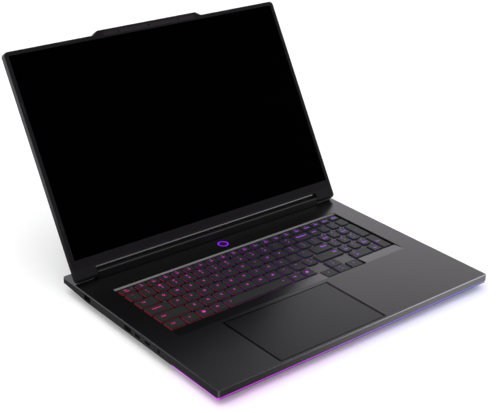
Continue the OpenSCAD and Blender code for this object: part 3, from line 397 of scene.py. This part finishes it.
# ---------------------------------------------------------------- key legends
# The legends are clear windows in the coat, lit from below: red at the left end,
# then magenta, then violet. Two keys have a large plain mark.
UNIT, ROW_PITCH, PAD_UNIT = 19.05, 18.4, 15.8
TOP_ROW_D, ARROW_D, ARROW_UNIT = 12.5, 17.5, 20.3
ROW0_Y = 120.5 - HALF_D
MAIN_RIGHT = FIELD_X + MAIN_W
ARROW_X = MAIN_RIGHT - 3 * ARROW_UNIT
ARROW_Y = ROW0_Y - 15.2
BACK_SHIFT = 1.3
ESC_W, TILDE_W, TAB_W, LOCK_W, SHIFT_W, SLASH_W = 21.7, 18.5, 27.6, 33.3, 42.7, 17.6
LEFT_MODIFIERS_W, SPACE_UNITS, TOP_CELLS = 42.9, 5, 15
WORD, LETTER, SIGN = 2.2, 3.0, 2.6
LOCK_WORD, FN_WORD, BACK_WORD, ENTER_WORD = 1.4, 1.5, 2.7, 2.9
LETTER_TO_SIZE = 1.42
KEY_APART, TOP_APART, ARROW_APART = 5.4, 3.6, 5.0
ZERO_LEFT, ZERO_W = 0.5, 20.0
INK_LIFT, INK_HALF_THICK, INK_SPREAD = 0.012, 0.01, 0.10
DISC_LIFT, DISC_THICK, DISC_SIDES = 0.005, 0.02, 24
PLAIN_MARK_X, PLAIN_MARK_UP, PLAIN_MARK_R = (-117.4, 34.8), 10.3, 2.1
INK = [(0.0, (0.66, 0.012, 0.14)), (0.08, (0.80, 0.014, 0.26)), (0.17, (0.88, 0.014, 0.50)),
       (0.35, (0.76, 0.014, 0.64)), (0.60, (0.62, 0.022, 0.95)), (0.80, (0.46, 0.075, 0.95)),
       (1.0, (0.34, 0.12, 0.85))]


def row_y(row):
    """Front edge of a key row, counted from the modifier keys' row as 0."""
    return ROW0_Y + row * ROW_PITCH


def cells(start, widths):
    """[(left edge, width)] of the cells that lie side by side from start."""
    edges = start + np.concatenate([[0.0], np.cumsum(widths)])
    return list(zip(edges[:-1], widths))


def centred(keys, y, depth, labels, height):
    """One legend (text, x, y, height) for each cell, just behind its middle."""
    return [(label, x + w / 2, y + depth / 2 + BACK_SHIFT, height)
            for (x, w), label in zip(keys, labels)]


def paired(keys, y, depth, upper, lower, height, apart=KEY_APART):
    """Two legends in each cell, that far apart: one to the rear and one in front of it."""
    return (centred(keys, y + apart / 2, depth, upper, height)
            + centred(keys, y - apart / 2, depth, lower, height))


top_cells = cells(FIELD_X, [ESC_W] + [(MAIN_W - ESC_W) / TOP_CELLS] * TOP_CELLS + [PAD_UNIT] * 4)
top_names = [f"F{i}" for i in range(1, 13)] + ["Ins", "Prt", "Del", "Home", "End", "PgUp", "PgDn"]
top_signs = list("x-+o*:=<>+-o") + ["+", "o", "x", "<", ">", "^", "v"]
number_cells = cells(FIELD_X, [TILDE_W] + [UNIT] * 12)
q_cells = cells(FIELD_X + TAB_W, [UNIT] * 12)
slash_cell = cells(MAIN_RIGHT - SLASH_W, [SLASH_W])
home_cells = cells(FIELD_X + LOCK_W, [UNIT] * 11)
lower_cells = cells(FIELD_X + SHIFT_W, [UNIT] * 10)
pad_cells = cells(MAIN_RIGHT, [PAD_UNIT] * 4)
zero_cell = cells(MAIN_RIGHT - ZERO_LEFT, [ZERO_W])
SPACE_X = FIELD_X + LEFT_MODIFIERS_W + 2 * UNIT
SPACE_W = SPACE_UNITS * UNIT
arrow_cells = cells(ARROW_X, [ARROW_UNIT] * 3)
LEGENDS = {
    "top_row_keys": paired(top_cells[1:], row_y(5), TOP_ROW_D, top_signs, top_names, WORD, TOP_APART)
        + [("Esc", FIELD_X + 9.4, row_y(5) + 8.6, WORD),
           ("FnLock", FIELD_X + 10.4, row_y(5) + 5.2, LOCK_WORD)],
    "number_row_keys": paired(number_cells, row_y(4), ROW_PITCH, "~!@#$%^&*()_+", "`1234567890-=", SIGN),
    "backspace_key": [("Backspace", MAIN_RIGHT - 12.8, row_y(4) + 10.4, BACK_WORD)],
    "q_row_keys": centred(q_cells[:10], row_y(3), ROW_PITCH, "QWERTYUIOP", LETTER)
        + paired(q_cells[10:], row_y(3), ROW_PITCH, "{}", "[]", SIGN)
        + paired(slash_cell, row_y(3), ROW_PITCH, "|", "/", SIGN)
        + [("Tab", FIELD_X + 10.3, row_y(3) + 10.5, WORD)],
    "home_row_keys": centred(home_cells[:9], row_y(2), ROW_PITCH, "ASDFGHJKL", LETTER)
        + paired(home_cells[9:], row_y(2), ROW_PITCH, ":+", ";-", SIGN)
        + [("CapsLock", FIELD_X + 15.0, row_y(2) + 10.6, WORD)],
    "enter_key": [("Enter", MAIN_RIGHT - 9.4, row_y(2) + 11.2, ENTER_WORD)],
    "left_shift_key": [("Shift", FIELD_X + 10.8, row_y(1) + 10.4, WORD)],
    "lower_row_keys": centred(lower_cells[:7], row_y(1), ROW_PITCH, "ZXCVBNM", LETTER)
        + paired(lower_cells[7:], row_y(1), ROW_PITCH, "<>?", ",./", SIGN),
    "right_shift_key": [("Shift", MAIN_RIGHT - 8.1, row_y(1) + 11.2, WORD)],
    "modifier_keys": [
        ("Ctrl", FIELD_X + 9.7, row_y(0) + 10.2, WORD),
        ("Fn", FIELD_X + 32.1, row_y(0) + 10.5, FN_WORD),
        ("Alt", FIELD_X + 70.0, row_y(0) + 10.6, WORD),
        ("Alt", SPACE_X + SPACE_W + 8.0, row_y(0) + 10.6, WORD)],
    "space_bar": [
        ("o", SPACE_X + 8.0, row_y(0) + 10.6, WORD),
        ("o", SPACE_X + SPACE_W - 9.5, row_y(0) + 10.6, WORD)],
    "up_arrow_key": paired(arrow_cells[1:2], row_y(0), ROW_PITCH, "^", "o", WORD, ARROW_APART),
    "left_arrow_key": centred(arrow_cells[:1], ARROW_Y, ARROW_D, "<", SIGN),
    "down_arrow_key": paired(arrow_cells[1:2], ARROW_Y, ARROW_D, "v", "o", WORD, ARROW_APART),
    "right_arrow_key": centred(arrow_cells[2:], ARROW_Y, ARROW_D, ">", SIGN),
    "numpad_digit_keys": centred(pad_cells, row_y(4), ROW_PITCH, ["Num", "/", "*", "-"], WORD)
        + paired(pad_cells[:3], row_y(3), ROW_PITCH, "789", ["Home", "^", "PgUp"], WORD)
        + paired(pad_cells[:3], row_y(2), ROW_PITCH, "456", "<o>", WORD)
        + paired(pad_cells[:3], row_y(1), ROW_PITCH, "123", ["End", "v", "PgDn"], WORD)
        + paired(pad_cells[2:3], row_y(0), ROW_PITCH, ".", ["Del"], WORD),
    "numpad_plus_key": [("+", pad_cells[3][0] + PAD_UNIT / 2, row_y(2) + ROW_PITCH + 2.0, SIGN)],
    "numpad_enter_key": [("Enter", pad_cells[3][0] + PAD_UNIT / 2, row_y(0) + ROW_PITCH, WORD)],
    "numpad_zero_key": paired(zero_cell, row_y(0), ROW_PITCH, "0", ["Ins"], WORD),
}


def outline(text, height):
    """The text as a thin mesh solid of that letter height, centred on the origin."""
    curve = bpy.data.curves.new("legend", "FONT")
    curve.body, curve.size, curve.resolution_u = text, height * LETTER_TO_SIZE * MM, 2
    curve.align_x, curve.align_y = "CENTER", "CENTER"
    curve.extrude, curve.offset = INK_HALF_THICK * MM, INK_SPREAD * MM
    source = bpy.data.objects.new("legend", curve)
    scene.collection.objects.link(source)
    mesh = bpy.data.meshes.new_from_object(source.evaluated_get(bpy.context.evaluated_depsgraph_get()))
    bpy.data.objects.remove(source)
    points = np.empty(3 * len(mesh.vertices))
    mesh.vertices.foreach_get("co", points)
    points = points.reshape(-1, 3)
    middle = (points.min(axis=0) + points.max(axis=0)) / 2
    mesh.transform(Matrix.Translation(Vector(-middle)))
    return mesh


def linked(name, shape):
    """A scene object made of a bmesh."""
    mesh = bpy.data.meshes.new(name)
    shape.to_mesh(mesh)
    shape.free()
    piece = bpy.data.objects.new(name, mesh)
    scene.collection.objects.link(piece)
    return piece


def printed(name, rows, z):
    """One piece of all the legends in rows, each moved to its (x, y) at height z."""
    joined = bmesh.new()
    for text, x, y, height in rows:
        mesh = outline(text, height)
        mesh.transform(Matrix.Translation((x * MM, y * MM, z * MM)))
        joined.from_mesh(mesh)
        bpy.data.meshes.remove(mesh)
    return linked(name, joined)


def discs(name, centres, radius, z):
    """Flat discs at the (x, y) centres: rims x + r cos a, y + r sin a at z and z + DISC_THICK."""
    angle = np.linspace(0.0, 2 * np.pi, DISC_SIDES, endpoint=False)
    rim = np.stack([radius * np.cos(angle), radius * np.sin(angle), np.full(DISC_SIDES, z)], 1)
    low_ring = np.arange(DISC_SIDES)
    next_low = np.roll(low_ring, -1)
    sheath = np.stack([low_ring, next_low, next_low + DISC_SIDES, low_ring + DISC_SIDES], 1)
    faces = sheath.tolist() + [low_ring[::-1].tolist(), (low_ring + DISC_SIDES).tolist()]
    shape = bmesh.new()
    for x, y in centres:
        low = rim + [x, y, 0.0]
        points = np.concatenate([low, low + [0, 0, DISC_THICK]]) * MM
        mesh = bpy.data.meshes.new(name)
        mesh.from_pydata(points.tolist(), [], faces)
        shape.from_mesh(mesh)
        bpy.data.meshes.remove(mesh)
    return linked(name, shape)


ink = Finish("lit_legend", Base_Color=(0.02, 0.012, 0.02), Roughness=0.5, Emission_Strength=1.0)
ink.set(Emission_Color=ink.ramp(along_keys(ink) + 0.02 * ink.noise(400.0), INK))
body_of = {node: body for body, nodes in frame["record"]["behaviour"]["bodies"].items() for node in nodes}
for key, rows in LEGENDS.items():
    piece = printed(key + "_legends", rows, KEY_TOP + INK_LIFT)
    ink.dress(piece)
    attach(piece, body_of[key])
mark_places = [(x, row_y(0) + PLAIN_MARK_UP) for x in PLAIN_MARK_X]
plain_marks = discs("plain_key_marks", mark_places, PLAIN_MARK_R, KEY_TOP + DISC_LIFT)
ink.dress(plain_marks)
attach(plain_marks, body_of["modifier_keys"])

# ---------------------------------------------------------------- status lights
# Two pinhole windows in the coat with a white lamp below each, one on the escape key
# and one on the lock key.
PINHOLE_R = 0.55
STATUS_PLACES = {"top_row_keys": (-150.8, 220.7 - HALF_D), "home_row_keys": (-139.2, 173.7 - HALF_D)}
pinhole = Finish("white_pinhole", Base_Color=(0.1, 0.1, 0.1), Roughness=0.5, Emission_Strength=0.22)
pinhole.set(Emission_Color=pinhole.mix(pinhole.noise(900.0), (0.75, 0.80, 0.72), (0.85, 0.88, 0.82)))
for key, place in STATUS_PLACES.items():
    piece = discs(key + "_status_light", [place], PINHOLE_R, KEY_TOP + DISC_LIFT)
    pinhole.dress(piece)
    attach(piece, body_of[key])

# ---------------------------------------------------------------- keyboard below the caps
# A stamped steel plate carries a silicone dome sheet, and a clear sheet below it
# spreads the coloured light that shows round the keys. The hinges' brackets and arms
# are of the same steel.
plate = Finish("stamped_steel", Metallic=1.0, Base_Color=(0.30, 0.30, 0.31))
plate.set(Roughness=0.35 + 0.2 * plate.noise(900.0, 2.0, (1.0, 0.05, 1.0)))
plate.dress("keyboard_plate", "hinge_brackets", "hinge_arms")
domes = Finish("lit_silicone", Base_Color=(0.05, 0.05, 0.055), Roughness=0.55, Emission_Strength=0.7)
domes.set(Emission_Color=domes.ramp(along_keys(domes) + 0.02 * domes.noise(150.0), FOOT_GLOW))
domes.dress("dome_sheet", "keyboard_backlight")

# ---------------------------------------------------------------- trim bar
# A drawn aluminium strip with a slanted face at the rear of the key tray, lighter than
# the deck and satin along its length.
BAR_ROUND = 0.35
bright = Finish("satin_trim", Metallic=0.55)
drawn_line = bright.noise(1500.0, 2.0, (0.05, 1.0, 1.0))
bright.vary(drawn_line, (0.27, 0.27, 0.275), (0.34, 0.34, 0.345), 0.34, 0.10)
bright.dress("keyboard_trim_bar")
soften(["keyboard_trim_bar"], BAR_ROUND)

# ---------------------------------------------------------------- hinge bar
# A matt black extrusion that stands on the deck and hides the two hinges. Its upper
# front edge is painted a little lighter, as a highlight.
EDGE_UP, EDGE_AHEAD, HINGE_BAR_ROUND = (28.6, 28.9), (57.2, 57.0), 0.6
bar = Finish("matt_black_bar", Specular_IOR_Level=0.5)
brushed = bar.noise(2200.0, 2.0, (0.02, 1.0, 1.0))
painted_edge_highlight = bar.z.step_mm(*EDGE_UP) * bar.y.step_mm(*EDGE_AHEAD)
matt_black = bar.mix(brushed, (0.002, 0.002, 0.002), (0.004, 0.004, 0.004))
# Painted highlight: the upper front edge is lighter.
bar.set(Base_Color=bar.mix(painted_edge_highlight, matt_black, (0.030, 0.029, 0.030)),
        Roughness=0.42 + 0.08 * brushed)
bar.bump(brushed, 0.000008)
bar.dress("hinge_bar_cover")
soften(["hinge_bar_cover"], HINGE_BAR_ROUND)

# ---------------------------------------------------------------- touchpad
# A glass plate with an etched matt face, a shade darker than the palm rest, that clicks
# down in its well. Its rim and sides are painted black, as the shade in the gap round it.
PLATE_UP = (19.80, 19.86)
PLATE_HALF_X, PLATE_HALF_Y, PLATE_SOFT = 74.8, 46.2, 0.2
pad = Finish("etched_touch_plate", Metallic=1.0)
etched = pad.noise(6500.0, 1.0)
face_part = pad.x.band(PAD_X, PLATE_HALF_X, PLATE_SOFT) * pad.y.band(PAD_Y, PLATE_HALF_Y, PLATE_SOFT)
face_part = pad.z.step_mm(*PLATE_UP) * face_part
etched_grey = pad.mix(etched, (0.126, 0.121, 0.127), (0.140, 0.135, 0.141))
# Painted shade: outside the face, the rim and sides are black.
pad.set(Base_Color=pad.mix(face_part, GAP_SHADE_BLACK, etched_grey), Roughness=0.22 + 0.05 * etched)
pad.bump(etched, 0.000006)
pad.dress("touchpad")

# ---------------------------------------------------------------- power button
# A round dark key in the middle of the deck, behind the keyboard, that presses down
# inside a clear ring. The ring lights violet.
button = Finish("power_key_coat", Metallic=0.3)
turned = button.noise(2600.0)
button.vary(turned, (0.006, 0.006, 0.007), (0.012, 0.012, 0.014), 0.42, 0.1)
button.dress("power_button")
ring = Finish("lit_power_ring", Base_Color=(0.03, 0.01, 0.10), Roughness=0.35, Emission_Strength=1.3)
ring.set(Emission_Color=ring.mix(ring.noise(350.0), (0.20, 0.004, 0.80), (0.32, 0.008, 1.0)))
ring.dress("power_ring_light")

# ---------------------------------------------------------------- front light bar
# A milky strip under the front wall and round both corners, lit from inside,
# magenta at the left and blue-violet at the right. Its lamps also light the floor.
STRIP = [(0.0, (0.80, 0.060, 0.98)), (0.25, (0.66, 0.075, 0.92)), (0.45, (0.52, 0.18, 0.95)),
         (0.65, (0.34, 0.22, 1.0)), (1.0, (0.26, 0.27, 1.0))]
STRIP_Z, STRIP_BACK, SIDE_STRIP = 9.2, 0.6, 78.0
FRONT_LAMPS, LAMP_WATTS_PER_METRE, LAMP_SHORT, LAMP_DEPTH = 8, 0.018, 2.0, 1.0
strip = Finish("lit_front_strip", Base_Color=(0.05, 0.02, 0.07), Roughness=0.4,
               Specular_IOR_Level=0.2, Emission_Strength=1.0)
strip.set(Emission_Color=strip.ramp(strip.x / (2 * HALF_W * MM) + 0.5 + 0.02 * strip.noise(60.0), STRIP))
strip.dress("front_light_bar")


def strip_colour(x):
    """The strip's own colour at x millimetres, at full strength."""
    at = x / (2 * HALF_W) + 0.5
    places, colours = zip(*STRIP)
    colour = [np.interp(at, places, channel) for channel in zip(*colours)]
    return [c / max(colour) for c in colour]


def strip_lamp(name, x, y, width, depth):
    """A downward lamp below the strip, width by depth millimetres, in the strip's colour there."""
    place = Vector((x * MM, y * MM, STRIP_Z * MM))
    watts = LAMP_WATTS_PER_METRE * max(width, depth) * MM
    area_lamp(name, place, place - Vector((0, 0, 1)), (width * MM, depth * MM), watts, strip_colour(x))


span = 2 * (HALF_W - LAMP_SHORT) / FRONT_LAMPS
for i in range(FRONT_LAMPS):
    lamp_x = -HALF_W + LAMP_SHORT + (i + 0.5) * span
    strip_lamp(f"front_lamp_{i}", lamp_x, -HALF_D + STRIP_BACK, span, LAMP_DEPTH)
for side in (-1, 1):
    lamp_x, lamp_y = side * (HALF_W - STRIP_BACK), -HALF_D + SIDE_STRIP / 2
    strip_lamp(f"side_lamp_{side}", lamp_x, lamp_y, LAMP_DEPTH, SIDE_STRIP)

# ---------------------------------------------------------------- bottom of the base
# The tub, rear frame, speakers and fan housings are textured black plastic. The feet
# and the lid's bumpers are matt rubber strips, and the screws are blackened steel.
shell = Finish("textured_black_shell", Specular_IOR_Level=0.4)
pebble = shell.noise(1900.0)
shell.vary(pebble, (0.010, 0.010, 0.011), (0.018, 0.018, 0.020), 0.55, 0.12)
shell.bump(pebble, 0.00004)
shell.dress("bottom_cover", "rear_vent_frame", "fan_housings", "speakers")
rubber = Finish("matt_rubber", Specular_IOR_Level=0.25)
ribs = rubber.noise(1300.0)
rubber.vary(ribs, (0.010, 0.010, 0.010), (0.022, 0.022, 0.022), 0.8, 0.1)
rubber.bump(ribs, 0.00006)
rubber.dress("rubber_feet", "lid_bumpers")
screw = Finish("blackened_steel", Metallic=1.0)
turnings = screw.noise(3000.0)
screw.vary(turnings, (0.10, 0.10, 0.11), (0.20, 0.20, 0.21), 0.3, 0.15)
screw.dress("cover_screws")

# ---------------------------------------------------------------- sockets
# The USB and video sockets are folded nickel-plated shells. The network, audio and power
# sockets, the privacy switch and the two fan rotors are moulded in black plastic.
nickel = Finish("nickel_plate", Metallic=1.0)
folded = nickel.noise(1500.0)
nickel.vary(folded, (0.42, 0.42, 0.43), (0.56, 0.56, 0.57), 0.25, 0.15)
nickel.dress("usb_a_sockets", "usb_c_sockets", "video_socket")
housing = Finish("moulded_black_housing", Specular_IOR_Level=0.4)
moulded = housing.noise(1200.0)
housing.vary(moulded, (0.008, 0.008, 0.008), (0.016, 0.016, 0.017), 0.5, 0.1)
housing.dress("ethernet_jack", "audio_jack", "power_inlet", "privacy_switch",
              "fan_rotor_left", "fan_rotor_right")

# ---------------------------------------------------------------- inside the base
# Circuit boards with traces under green lacquer, copper heat pipes, pressed fins
# and film-wrapped battery cells.
board = Finish("green_lacquer", Roughness=0.35)
traces = board.node("ShaderNodeTexBrick", None, {
    "Vector": board.place, "Scale": 260.0, "Color1": (0.008, 0.050, 0.022),
    "Color2": (0.012, 0.070, 0.030), "Mortar": (0.06, 0.12, 0.05)}, "Color")
board.set(Base_Color=traces)
board.dress("motherboard", "memory_modules", "storage_modules", "wireless_card")
copper = Finish("bare_copper", Metallic=1.0)
tarnish = copper.noise(220.0, 3.0)
copper.vary(tarnish, (0.72, 0.34, 0.18), (0.55, 0.24, 0.12), 0.25, 0.2)
copper.dress("heat_pipes")
pressed = Finish("pressed_fins", Metallic=1.0)
drawn = pressed.noise(1600.0)
pressed.vary(drawn, (0.50, 0.50, 0.51), (0.64, 0.64, 0.65), 0.3, 0.15)
pressed.dress("fin_stacks")
film = Finish("battery_film", Specular_IOR_Level=0.5)
creases = film.noise(90.0, 4.0)
film.vary(creases, (0.012, 0.012, 0.014), (0.026, 0.026, 0.030), 0.22, 0.2)
film.bump(creases, 0.0002)
film.dress("battery_pack")

# ---------------------------------------------------------------- lid shell
# A dark anodised pressing at the back of the display. Its rim is nearly black, and its
# broad rear face a lighter grey.
LID_LEAN, HINGE_Y, HINGE_Z = 58.8, 61.322, 26.4
REAR_ENDS = (-2.15, -2.25)
cover = Finish("dark_anodised_lid", Metallic=0.8)
blast = cover.noise(5200.0, 1.0)
haze = cover.noise(7.0, 3.0)
lean = math.radians(LID_LEAN)
off_hinge = (cover.z - HINGE_Z * MM) * math.cos(lean) - (cover.y - HINGE_Y * MM) * math.sin(lean)
rear_face = off_hinge.step_mm(*REAR_ENDS)
rim_grey = cover.mix(haze, (0.022, 0.021, 0.023), (0.030, 0.029, 0.031))
rear_grey = cover.mix(haze, (0.120, 0.116, 0.122), (0.140, 0.136, 0.142))
cover.set(Base_Color=cover.mix(rear_face, rim_grey, rear_grey), Roughness=0.36 + 0.08 * blast)
cover.bump(blast, 0.000012)
cover.dress("lid_back_cover")

# ---------------------------------------------------------------- bezel
# A slim moulded frame round the display, finely grained. A smoother strip above the
# display holds the camera, and the mouths of two microphones in it are painted black, as the shade inside
# them.
GLAZED_X, GLAZED_HALF_X, GLAZED_SOFT_X = 2.0, 68.0, 1.0
GLAZED_UP, GLAZED_HALF_UP, GLAZED_SOFT_UP = 266.2, 2.6, 0.5
MOUTH_X, MOUTH_HALF_X, MOUTH_HALF_UP, MOUTH_SOFT = (-44.4, 44.4), 1.2, 1.1, 0.4
bezel = Finish("moulded_bezel", Specular_IOR_Level=0.12)
fine = bezel.noise(4200.0, 1.0)
up_lid = (bezel.y - HINGE_Y * MM) * math.cos(lean) + (bezel.z - HINGE_Z * MM) * math.sin(lean)
glazed = bezel.x.band(GLAZED_X, GLAZED_HALF_X, GLAZED_SOFT_X)
glazed = glazed * up_lid.band(GLAZED_UP, GLAZED_HALF_UP, GLAZED_SOFT_UP)
mouth_shade = 0.0
for mouth_x in MOUTH_X:
    mouth_high = up_lid.band(GLAZED_UP, MOUTH_HALF_UP, MOUTH_SOFT)
    mouth_shade = mouth_shade + bezel.x.band(mouth_x, MOUTH_HALF_X, MOUTH_SOFT) * mouth_high
grained = bezel.mix(fine, (0.0090, 0.0078, 0.0092), (0.0125, 0.0108, 0.0128))
smooth_strip = bezel.mix(glazed, grained, (0.0240, 0.0210, 0.0235))
# Painted shade: the microphones' mouths are black.
bezel.set(Base_Color=bezel.mix(mouth_shade, smooth_strip, (0.001, 0.001, 0.001)),
          Roughness=0.5 + 0.1 * fine - 0.15 * glazed)
bezel.bump(fine, 0.00001)
bezel.dress("lid_bezel")

# ---------------------------------------------------------------- hinge trim
# A satin moulded strip along the lid's hinge edge and its two ears. A strip of foam at
# each end fills the seam between it and the bezel.
hinge_trim = Finish("satin_hinge_trim", Specular_IOR_Level=0.12)
satin = hinge_trim.noise(2600.0, 1.0)
hinge_trim.vary(satin, (0.0120, 0.0108, 0.0122), (0.0165, 0.0150, 0.0168), 0.42, 0.1)
hinge_trim.dress("lid_hinge_trim")
SEAM_X, SEAM_UP, SEAM_OUT = (186.0, 198.4), (9.62, 9.68), (2.2, 5.5)
foam = bmesh.new()
lid_axes = Matrix.Translation((0, HINGE_Y * MM, HINGE_Z * MM)) @ Matrix.Rotation(lean, 4, "X")
seam_low, seam_high = (Vector(c) * MM for c in zip(SEAM_X, SEAM_UP, SEAM_OUT))
for side in (-1, 1):
    middle = (seam_low + seam_high) / 2
    middle.x *= side
    place = lid_axes @ Matrix.Translation(middle) @ Matrix.Diagonal((*(seam_high - seam_low), 1.0))
    bmesh.ops.create_cube(foam, size=1.0, matrix=place)
seam_foam = linked("seam_foam", foam)
rubber.dress(seam_foam)
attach(seam_foam, "lid")

# ---------------------------------------------------------------- display and camera
# A switched-off panel behind an anti-glare polariser, held between the back plate and
# the bezel, and the camera's dark window above it.
panel = Finish("switched_off_panel", Specular_IOR_Level=0.004)
frost = panel.noise(3000.0, 1.0)
panel.vary(frost, (0.0001, 0.0001, 0.0001), (0.0002, 0.0002, 0.0002), 0.35, 0.1)
panel.dress("display_panel")
window = Finish("camera_window", Base_Color=(0.004, 0.004, 0.006), Coat_Weight=0.3)
window.set(Roughness=0.12 + 0.05 * window.noise(900.0))
window.dress("camera_module")
